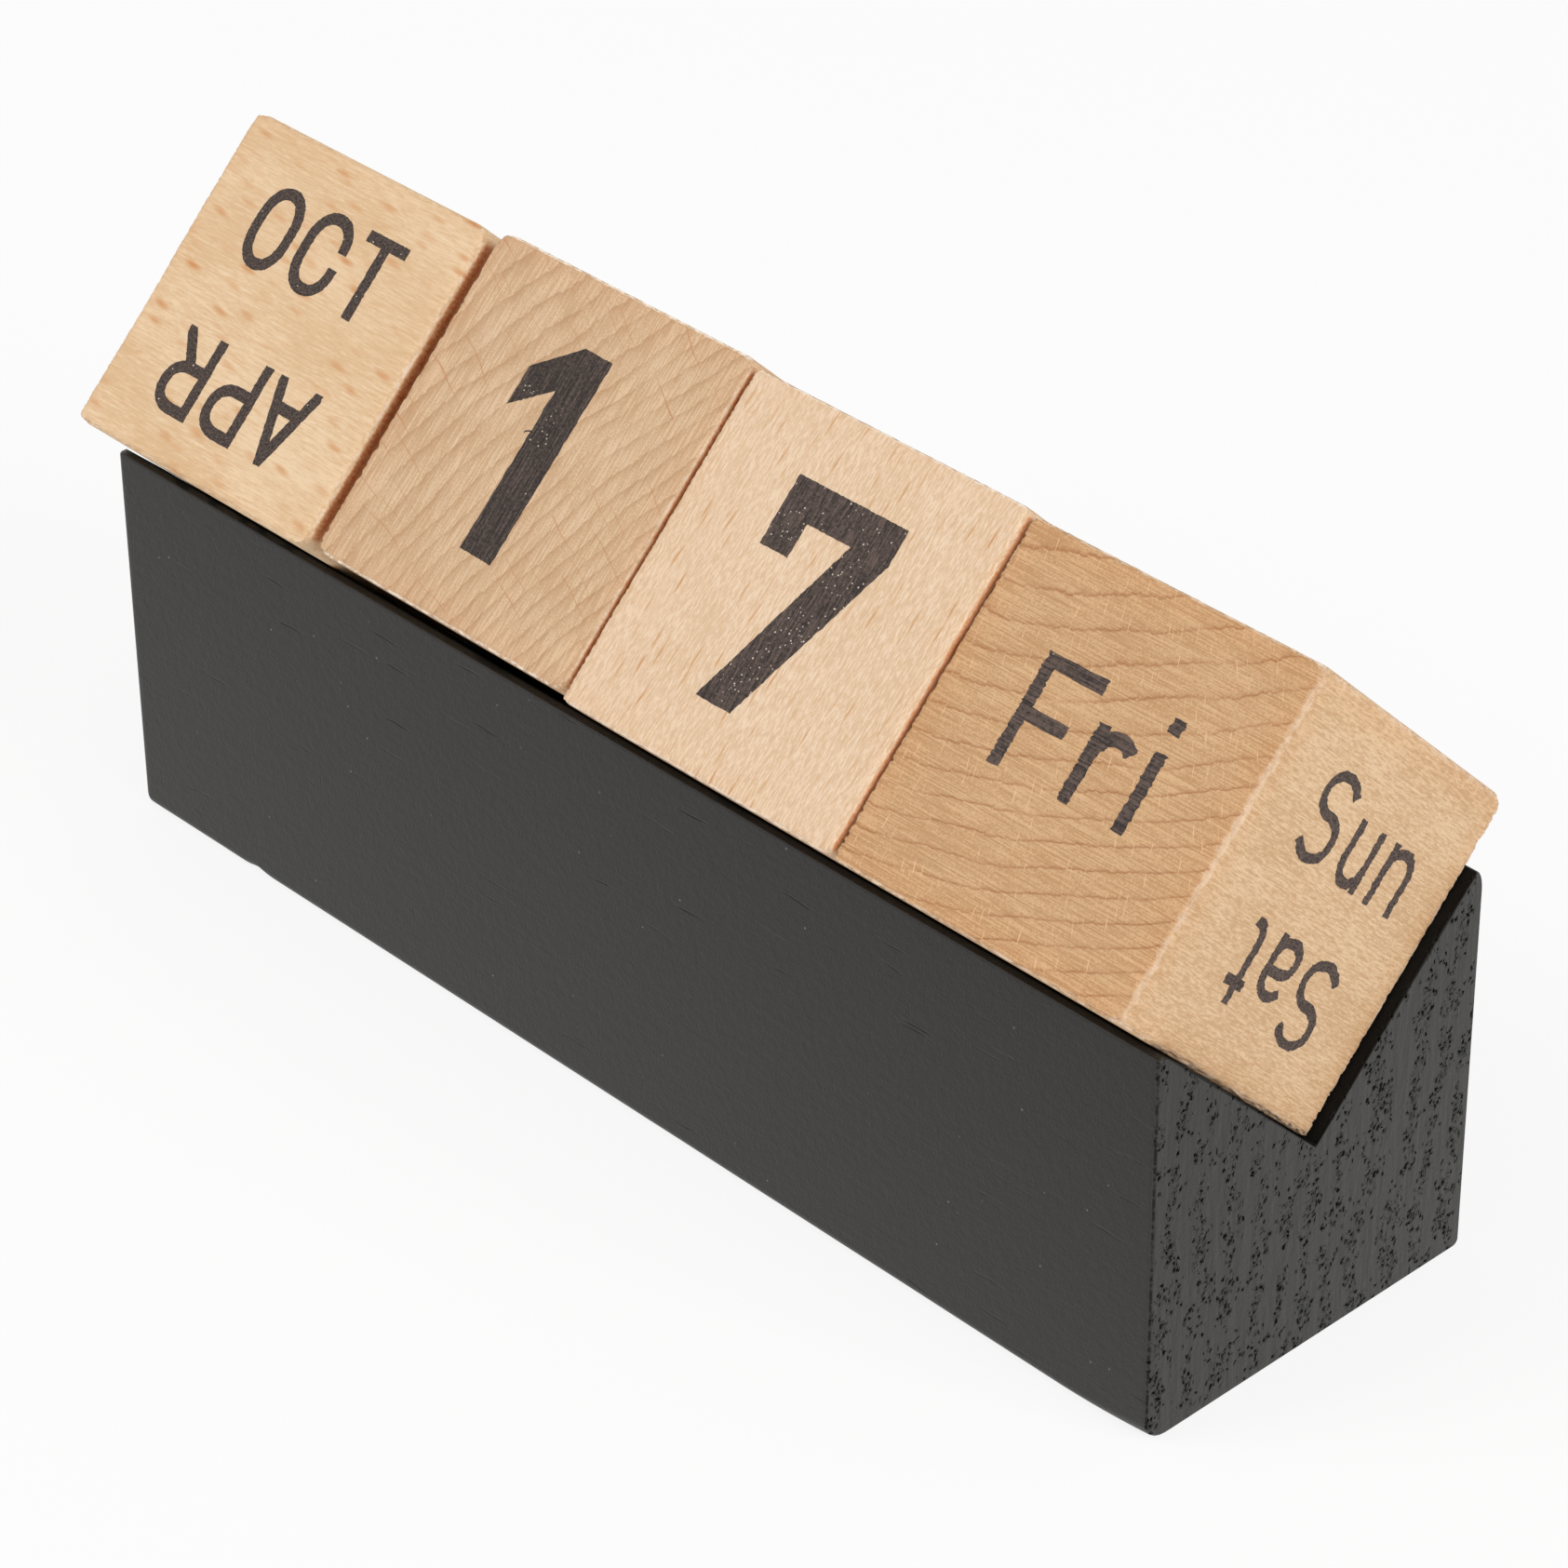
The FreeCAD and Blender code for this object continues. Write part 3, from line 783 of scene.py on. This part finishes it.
STROKES.update({
    "0": ["0,.38 0,.62(.5,1)1,.62 1,.38(.5,0)0,.38"],
    "1": ["=.38,.82 .73,1 1,1 1,0 .69,0 .69,.78 .38,.63"],
    "2": ["0,.73(.5,1)1,.73 1,.65 .05,.03", "0,0 1,0"],
    "3": ["0,.8(.5,1)1,.77(.5,.54 .3,.54", ".3,.54 .5,.54)1,.27(.5,0)0,.2"],
    "4": ["1,.25 .02,.25 .6,1", ".72,.52 .72,0"],
    "5": ["1,1 .06,1 0,.52 .5,.62)1,.3(.5,0)0,.2"],
    "6": ["1,.8(.5,1)0,.7 0,.3(.5,0)1,.3(.5,.6)0,.3"],
    "7": ["=0,1 1,1 1,.83 .5,0 .18,0 .66,.83 .26,.83 .26,.67 0,.67"],
    "8": [".5,.54)0,.77(.5,1)1,.77(.5,.54)0,.27(.5,0)1,.27(.5,.54"],
})
# Height of the capitals, width of the stroke and gap between letters
TWO_WORDS = (10.1, 1.4, 1.35)
SUNDAY = (9.9, 1.13, 2.15)
SATURDAY = (9.9, 1.13, 1.6)
ONE_WORD = (12.55, 1.55, 1.45)
DATE_FIGURE = (24.85, 4.7, 0)
STRAY_HAIR = (0.7, 0.17, 0)
# Ways to the right and up on each face, while the date looks up
FACES = {
    "date": ((1, 0, 0), (0, 1, 0)),
    "right": ((0, 0, -1), (0, 1, 0)),
    "left": ((0, 0, 1), (0, 1, 0)),
    "back": ((1, 0, 0), (0, 0, -1)),
    "front": ((1, 0, 0), (0, 0, 1)),
    "under": ((-1, 0, 0), (0, 1, 0)),
}
MONTHS = (
    ("OCT", (0.05, 3.9), "APR", (0, 4.6)), ("NOV", (0.3, 4.2), "MAY", (0.2, 4.3)),
    ("SEP", (-0.2, 4.0), "MAR", (0, 4.4)), ("DEC", (0.1, 4.4), "JUN", (-0.3, 4.1)),
    ("AUG", (-0.1, 4.2), "FEB", (0.2, 4.4)), ("JUL", (0.2, 4.1), "JAN", (0.1, 4.3)),
)
# Words, their lettering, middle, base line and turn
PRINTS = {
    "month": {
        face: [(upper, TWO_WORDS, *upright, 0), (lower, TWO_WORDS, *turned, 180)]
        for face, (upper, upright, lower, turned) in zip(FACES, MONTHS)
    },
    "tens": {
        face: [(figure, DATE_FIGURE, shift, -12.15, 1)]
        for face, figure, shift in zip(FACES, "123045", (-4.95, 0.3, -0.2, 0.1, 0.2, -0.3))
    },
    "units": {
        face: [(figure, DATE_FIGURE, shift, -12.55, 0)]
        for face, figure, shift in zip(FACES, "782160", (0.28, 0.2, -0.3, 0.1, -0.2, 0.3))
    },
    "weekday": {
        "date": [("Fri", ONE_WORD, -0.25, -3.85, 0)],
        "right": [("Sun", SUNDAY, 0.9, 3.0, 0), ("Sat", SATURDAY, -1.15, 3.55, 180)],
        "left": [("Wed", ONE_WORD, 0.4, -6.1, 0)],
        "back": [("Mon", ONE_WORD, -0.3, -5.8, 0)],
        "front": [("Thu", ONE_WORD, 0.2, -6.3, 0)],
        "under": [("Tue", ONE_WORD, 0.1, -6.0, 0)],
    },
}
PRINTS["tens"]["date"].append((["hair"], STRAY_HAIR, -2.2, 1.65, 0))
INK = {
    "month": dict(rag=(2.4, 2.4, 0.10), missed=0.06, comb=(5.0, 5.0, 5.0), dark=0.02, thin=[]),
    "tens": dict(
        rag=(4.0, 0.8, 0.12), missed=0.02, comb=(5.0, 0.2, 0.3), dark=0.04,
        thin=[((-5.2, 6.0, 20), 2.2), ((-0.6, 5.0, 20), 2.4), ((-0.2, 2.4, 20), 2.6)],
    ),
    "units": dict(
        rag=(3.5, 1.0, 0.12), missed=0.22, comb=(4.5, 0.3, 0.3), dark=0.01,
        thin=[
            ((-5.5, 7, 20), 3.6), ((5, 4, 20), 4.5), ((2.5, -2, 20), 4.5), ((-0.5, -8, 20), 4.5),
        ],
    ),
    "weekday": dict(rag=(0.5, 4.5, 0.22), missed=0.02, comb=(0.2, 4.5, 4.5), dark=0.0, thin=[]),
}


def stroke_points(spelling, size, weight):
    """A stroke's middle line in millimetres. A space is a straight piece, brackets are
    quarter rounds that leave upright or level, and < and > are flat curves that end or
    start level. Places are shares of the letter's box, half a stroke inside it."""
    inset = Vector((weight, weight)) / 2
    span = size - 2 * inset
    points = []
    for mark, x, y in re.findall(r"([ ()<>]?)([\d.]+),([\d.]+)", spelling):
        goal = inset + Vector((float(x) * span.x, float(y) * span.y))
        if not points:
            points.append(goal)
            continue
        last = points[-1]
        steps = max(1, math.ceil((goal - last).length / INK_STEP)) if mark == " " else ARC_STEPS
        for step in range(1, steps + 1):
            share = step / steps
            turn = share * math.pi / 2
            rise, run = math.sin(turn) ** ARC_POWER, 1 - math.cos(turn) ** ARC_POWER
            if mark == " ":
                points.append(last.lerp(goal, share))
            elif mark in "()":
                in_x, in_y = (run, rise) if mark == "(" else (rise, run)
                in_x = last.x + (goal.x - last.x) * in_x
                points.append(Vector((in_x, last.y + (goal.y - last.y) * in_y)))
            else:
                bend = Vector(((last.x + goal.x) / 2, goal.y if mark == "<" else last.y))
                points.append(last.lerp(bend, share).lerp(bend.lerp(goal, share), share))
    return points


def reach_out(points, size, weight):
    """Lengthens a stroke whose end runs at a side of the letter's box, which then trims it."""
    for end, before in ((0, 1), (-1, -2)):
        way = (points[end] - points[before]).normalized()
        for axis, least in ((0, 0.98), (1, 0.3)):
            at_low = points[end][axis] < weight * 0.6 and way[axis] < -least
            at_high = points[end][axis] > size[axis] - weight * 0.6 and way[axis] > least
            if at_low or at_high:
                points[end] = points[end] + way * weight
                break
    return points


def stroke_pieces(points, weight):
    """A stroke as flat pieces: an oblong for each step and a kite on the outside of each bend."""
    pieces = []
    half = weight / 2
    ways = [(after - before).normalized() for before, after in zip(points, points[1:])]
    for before, after, way in zip(points, points[1:], ways):
        side = Vector((-way.y, way.x)) * half
        pieces.append([before - side, after - side, after + side, before + side])
    for spot, one, other in zip(points[1:], ways, ways[1:]):
        turn = one.x * other.y - one.y * other.x
        if abs(turn) < STRAIGHT:
            continue
        hand = -1 if turn > 0 else 1
        first = Vector((-one.y, one.x)) * half * hand
        second = Vector((-other.y, other.x)) * half * hand
        tip = (first + second) / (1 + one.dot(other))
        kite = [spot, spot + first, spot + tip, spot + second]
        pieces.append(kite if hand < 0 else kite[::-1])
    return pieces


def holds(outline, spot):
    """Whether a closed outline goes round a spot."""
    inside = False
    for here, there in zip(outline, outline[1:] + outline[:1]):
        if (here.y > spot.y) != (there.y > spot.y):
            share = (spot.y - here.y) / (there.y - here.y)
            inside ^= spot.x < here.x + (there.x - here.x) * share
    return inside


def printed_letter(letter, cap, weight):
    """One letter as flat triangles, trimmed by its box, and the width that it takes."""
    height = cap * X_HEIGHT if letter in "aenoru" else cap
    width = cap * WIDTHS.get(letter, DIGIT_WIDTH)
    size = Vector((width, height))
    box = [Vector((0, 0)), Vector((width, 0)), size, Vector((0, height))]
    pieces = []
    for spelling in STROKES[letter]:
        if spelling[0] == "=":
            shares = [pair.split(",") for pair in spelling[1:].split()]
            outline = [Vector((float(x) * width, float(y) * height)) for x, y in shares]
            pieces.append(outline[::-1])
        else:
            points = stroke_points(spelling, size, weight)
            pieces += stroke_pieces(reach_out(points, size, weight), weight)
    corners, outlines = [], []
    for piece in [box, *pieces]:
        start = len(corners)
        for here, there in zip(piece, piece[1:] + piece[:1]):
            steps = max(1, math.ceil((there - here).length / INK_STEP))
            corners += [here.lerp(there, step / steps) for step in range(steps)]
        outlines.append(list(range(start, len(corners))))
    spots, _, triangles, *_ = geometry.delaunay_2d_cdt(corners, [], outlines, 0, 1e-4)
    reaches = [(min(p.x for p in piece), max(p.x for p in piece)) for piece in pieces]
    first = {}
    same = [first.setdefault((round(spot.x / WELD), round(spot.y / WELD)), index)
            for index, spot in enumerate(spots)]
    kept = {}
    for triangle in ([same[corner] for corner in triangle] for triangle in triangles):
        if len(set(triangle)) < 3:
            continue
        middle = sum((spots[corner] for corner in triangle), Vector((0, 0))) / 3
        near = (piece for piece, (low, high) in zip(pieces, reaches) if low < middle.x < high)
        if holds(box, middle) and any(holds(piece, middle) for piece in near):
            kept[frozenset(triangle)] = triangle
    return spots, list(kept.values()), width


def lay_ink(bm, spots, triangles, matrix, rag, seed):
    """Lays a letter on a face as a thin closed film whose outline follows the grain."""
    top, low = {}, {}
    for index in {corner for triangle in triangles for corner in triangle}:
        spot = spots[index]
        field = Vector((spot.x * rag[0], spot.y * rag[1], seed))
        pull = noise.noise_vector(field) * rag[2]
        fine = noise.noise_vector(field * 3.1) * rag[2] * 0.5
        flat = Vector((spot.x + pull.x + fine.x, spot.y + (pull.y + fine.y) * 0.6, 0))
        top[index] = bm.verts.new(matrix @ (flat + Vector((0, 0, FILM / MM))))
        low[index] = bm.verts.new(matrix @ (flat - Vector((0, 0, FILM / MM))))
    rim = Counter()
    for a, b, c in triangles:
        bm.faces.new((top[a], top[b], top[c]))
        bm.faces.new((low[c], low[b], low[a]))
        rim.update([(a, b), (b, c), (c, a)])
    for a, b in sorted(rim):
        if rim[a, b] > rim[b, a]:
            bm.faces.new((top[b], top[a], low[a], low[b]))


def print_mesh(name, centre, half, rag):
    """All the words and figures of one cube."""
    bm = bmesh.new()
    seed = 0.0
    for face, lines in PRINTS[name].items():
        right, up = (Vector(way) for way in FACES[face])
        axes = Matrix((right, up, right.cross(up))).transposed().to_4x4()
        for words, (cap, weight, gap), middle, base, turned in lines:
            letters = [printed_letter(letter, cap, weight) for letter in words]
            length = sum(letter[2] for letter in letters) + gap * (len(words) - 1)
            pen = middle - length / 2
            for spots, triangles, width in letters:
                matrix = Matrix.Translation(centre) @ Matrix.Rotation(TILT, 4, "X") @ axes
                matrix = matrix @ Matrix.Translation((0, 0, half - FILM)) @ Matrix.Scale(MM, 4)
                matrix = matrix @ Matrix.Rotation(math.radians(-turned), 4, "Z")
                matrix = matrix @ Matrix.Translation((pen, base, 0))
                seed += LETTER_SEED_STEP
                lay_ink(bm, spots, triangles, matrix, rag, seed)
                pen += width + gap
    return faced_mesh(bm, f"{name}_print")


def ink(name, centre, missed, comb, dark, thin):
    """Thin dark ink: mottled, combed by the sanding marks under it, with pinholes where the
    pad missed the wood, most of all in its thin places."""
    material = new_material(f"{name}_ink")
    tree = material.node_tree
    place = local_place(tree, centre, (TILT, 0, 0))
    lines = grain_noise(tree, place, comb, detail=3.0, rough=0.6)
    mottle = grain_noise(tree, place, (2.6, 2.6, 2.6), detail=3.0, rough=0.8)
    limit = missed
    for spot, reach in thin:
        away = vector_calc(tree, "DISTANCE", place, spot)
        limit = calc(tree, "MAXIMUM", limit, ramp(tree, away, reach * 0.4, reach, 0.8, 0.0))
    cell, draw = scattered(tree, place, 2.0)
    size = plus(tree, draw[1], 0.12, 0.12)
    away = calc(tree, "DIVIDE", cell["Distance"], size)
    hole = calc(tree, "LESS_THAN", draw[0], limit)
    hole = times(tree, ramp(tree, away, 0.6, 1.2, *FALL), hole)
    shade = plus(tree, mottle, 0.45, times(tree, lines, 0.55))
    shade = ramp(tree, shade, 0.39 + dark, 0.61 + dark)
    tone = mixed(tree, shade, srgb(30, 22, 17), srgb(100, 83, 75))
    tone = mixed(tree, times(tree, hole, 0.9), tone, srgb(226, 212, 196))
    height = plus(tree, lines, 0.06, times(tree, hole, -0.04))
    height = plus(tree, mottle, 0.05, height)
    rough = plus(tree, lines, 0.2, 0.42)
    finish_shader(tree, tone, rough, height, 0.2)
    return material


noise.seed_set(RAG_SEED)
for name, look in INK.items():
    low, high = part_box(f"{name}_cube")
    centre = (low + high) / 2
    words = print_mesh(name, centre, (high.x - low.x) / 2, look.pop("rag"))
    printed = new_piece(f"{name}_print", words)
    printed.data.materials.append(ink(name, centre, **look))
    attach(printed, name)


# Studio
# A white table under an even white light, with a large soft lamp above the front left
# and a weaker one to the right, and the camera that looks down on the right end.
AZIMUTH = math.radians(47.01)
ELEVATION = math.radians(33.45)
ROLL = math.radians(-0.587)
AIM = Vector((-8.517, 11.181, 21.039)) * MM
DISTANCE = 643.6 * MM
LENS = 132.93
SENSOR = 36.0


def white_floor():
    """A wide white table that is white to the camera but keeps a soft shadow."""
    bm = bmesh.new()
    bmesh.ops.create_grid(bm, x_segments=8, y_segments=8, size=3.0)
    floor = new_piece("table", faced_mesh(bm, "table"))
    material = new_material("table_white")
    tree = material.node_tree
    where = put(tree, "ShaderNodeTexCoord").outputs["Object"]
    white = ((0.86, 0.86, 0.86, 1), (0.88, 0.88, 0.88, 1))
    tint = mixed(tree, grain_noise(tree, where, (3, 3, 3)), *white)
    matt = put(tree, "ShaderNodeBsdfDiffuse", {"Color": tint})
    bright = put(tree, "ShaderNodeEmission", {"Color": (1, 1, 1, 1), "Strength": 1.0})
    path = put(tree, "ShaderNodeLightPath").outputs
    seen = calc(tree, "MAXIMUM", path["Is Camera Ray"], path["Is Glossy Ray"])
    share = times(tree, seen, 0.85)
    blend = put(tree, "ShaderNodeMixShader", {0: share, 1: matt.outputs[0], 2: bright.outputs[0]})
    put(tree, "ShaderNodeOutputMaterial", {"Surface": blend.outputs[0]})
    floor.data.materials.append(material)
    floor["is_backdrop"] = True


def white_world():
    """Even white light, and a white backdrop where the camera or a gloss looks past the table."""
    world = bpy.data.worlds.new("studio")
    bpy.context.scene.world = world
    world.use_nodes = True
    tree = world.node_tree
    tree.nodes.clear()
    path = put(tree, "ShaderNodeLightPath").outputs
    seen = calc(tree, "MAXIMUM", path["Is Camera Ray"], path["Is Glossy Ray"])
    seen = calc(tree, "MAXIMUM", seen, path["Is Transmission Ray"])
    strength = plus(tree, seen, 0.5, 0.5)
    light = put(tree, "ShaderNodeBackground", {"Color": (1, 1, 1, 1), "Strength": strength})
    put(tree, "ShaderNodeOutputWorld", {"Surface": light.outputs[0]})


def soft_lamp(name, place, size, power):
    """A square soft lamp that looks at the calendar."""
    lamp = bpy.data.lights.new(name, "AREA")
    lamp.size = size
    lamp.energy = power
    holder = bpy.data.objects.new(name, lamp)
    holder.location = place
    holder.rotation_euler = (AIM - Vector(place)).to_track_quat("-Z", "Y").to_euler()
    bpy.context.scene.collection.objects.link(holder)


def photo_camera():
    """The camera at the photograph's place, its lens long."""
    camera = bpy.data.objects.new("camera", bpy.data.cameras.new("camera"))
    camera.data.sensor_width = SENSOR
    camera.data.lens = LENS
    camera.data.clip_start = 0.01
    turn = Matrix.Rotation(AZIMUTH, 4, "Z") @ Matrix.Rotation(math.pi / 2 - ELEVATION, 4, "X")
    turn = turn @ Matrix.Rotation(ROLL, 4, "Z")
    back = turn @ Vector((0, 0, 1))
    camera.matrix_world = Matrix.Translation(AIM + back * DISTANCE) @ turn
    bpy.context.scene.collection.objects.link(camera)
    bpy.context.scene.camera = camera


white_floor()
white_world()
soft_lamp("key", (-0.55, -0.95, 1.15), 0.8, 9.5)
soft_lamp("fill", (1.25, 0.10, 0.75), 0.8, 10.6)
photo_camera()
bpy.context.scene.view_settings.view_transform = "Standard"

low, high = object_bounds()
